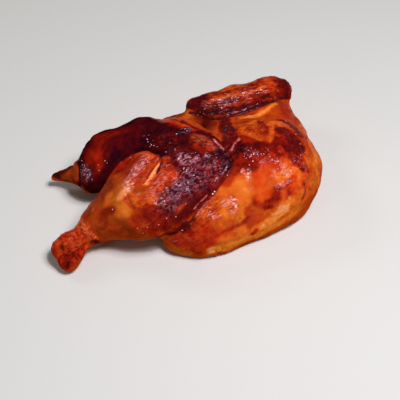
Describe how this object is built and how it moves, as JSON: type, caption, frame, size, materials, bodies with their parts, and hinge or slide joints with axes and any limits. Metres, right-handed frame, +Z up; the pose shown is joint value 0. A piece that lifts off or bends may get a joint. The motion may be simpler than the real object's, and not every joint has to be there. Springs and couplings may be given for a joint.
{
  "type": "half roast chicken",
  "caption": "Roast half chicken lying on its cut side: browned, glazed skin over breast, folded wing, thigh and drumstick, with a bare shank end and a pointed tail.",
  "frame": {"origin": "on the resting surface, under the middle of the bird's outer box", "axes": "+X from the tail to the neck end, +Y from the keel edge of the breast to the spine edge, +Z up through the skin, away from the cut side"},
  "size_m": [0.2104, 0.1312, 0.0603],
  "materials": {
    "roast_skin": "crisp roast skin, amber to mahogany with charred spots, coated in a glossy glaze",
    "seasoning": "dry dark flecks of pepper and burnt herbs",
    "pan_glaze": "wet beads of fat and glaze"
  },
  "bodies": {
    "root": {"half_chicken": "roast_skin"}
  },
  "joints": []
}
